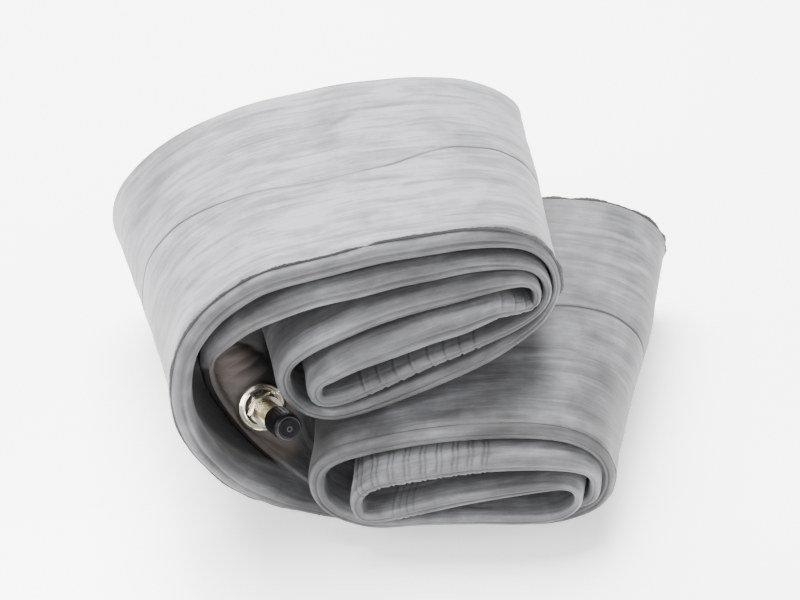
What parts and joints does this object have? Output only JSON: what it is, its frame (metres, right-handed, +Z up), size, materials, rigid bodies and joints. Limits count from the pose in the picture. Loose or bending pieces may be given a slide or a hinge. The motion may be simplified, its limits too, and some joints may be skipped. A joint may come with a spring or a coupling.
{
  "type": "folded inner tube",
  "caption": "Deflated rubber inner tube for a small wide tyre, pressed flat and folded into two stacked rolls, with a capped metal valve in the fold between them.",
  "frame": {"origin": "centre of the bundle's footprint, on the surface it rests on", "axes": "+X across the bundle, from the U-shaped fold at the left to the right-hand folds; +Y along the width of the flattened tube, away from the valve cap's side; +Z up"},
  "size_m": [0.2105, 0.1603, 0.1098],
  "materials": {
    "tube_rubber": "talc-dusted matte",
    "patch_rubber": "satin",
    "brass": "satin",
    "nickel": "satin nickel plate",
    "cap_plastic": "semi-matte",
    "seal_rubber": "matte",
    "spring_steel": "bright"
  },
  "bodies": {
    "tube": {"tube_body": "tube_rubber", "valve_base_patch": "patch_rubber", "valve_stem": "brass", "core_plug": "brass", "core_barrel": "brass", "core_gasket": "seal_rubber", "core_spring": "spring_steel"},
    "washer": {"rim_washer": "nickel"},
    "nut": {"rim_nut": "nickel"},
    "cap_seat": {"cap_seal": "seal_rubber"},
    "cap": {"valve_cap": "cap_plastic"},
    "core": {"core_pin": "brass", "core_cup_seal": "seal_rubber"}
  },
  "joints": [
    {"name": "nut_travel", "type": "slide", "parent": "tube", "child": "washer", "axis": [0.3695, -0.8049, 0.4644], "range_m": [0, 0.01]},
    {"name": "nut_turn", "type": "hinge", "parent": "washer", "child": "nut", "pos_m": [-0.04297, -0.04557, 0.03242], "axis": [0.3695, -0.8049, 0.4644], "range_deg": [0, 4540]},
    {"name": "cap_travel", "type": "slide", "parent": "tube", "child": "cap_seat", "axis": [0.3695, -0.8049, 0.4644], "range_m": [0, 0.011]},
    {"name": "cap_turn", "type": "hinge", "parent": "cap_seat", "child": "cap", "pos_m": [-0.03558, -0.06167, 0.04171], "axis": [0.3695, -0.8049, 0.4644], "range_deg": [0, 4995]},
    {"name": "core_press", "type": "slide", "parent": "tube", "child": "core", "axis": [-0.3695, 0.8049, -0.4644], "range_m": [0, 0.0015], "stiffness_N_per_m": 1500, "springref_m": -0.002, "deforming": ["core_spring"]}
  ],
  "couplings": [
    {"joint": "nut_turn", "follows": "nut_travel", "rad_per_m": 7913.3},
    {"joint": "cap_turn", "follows": "cap_travel", "rad_per_m": 7913.3}
  ]
}
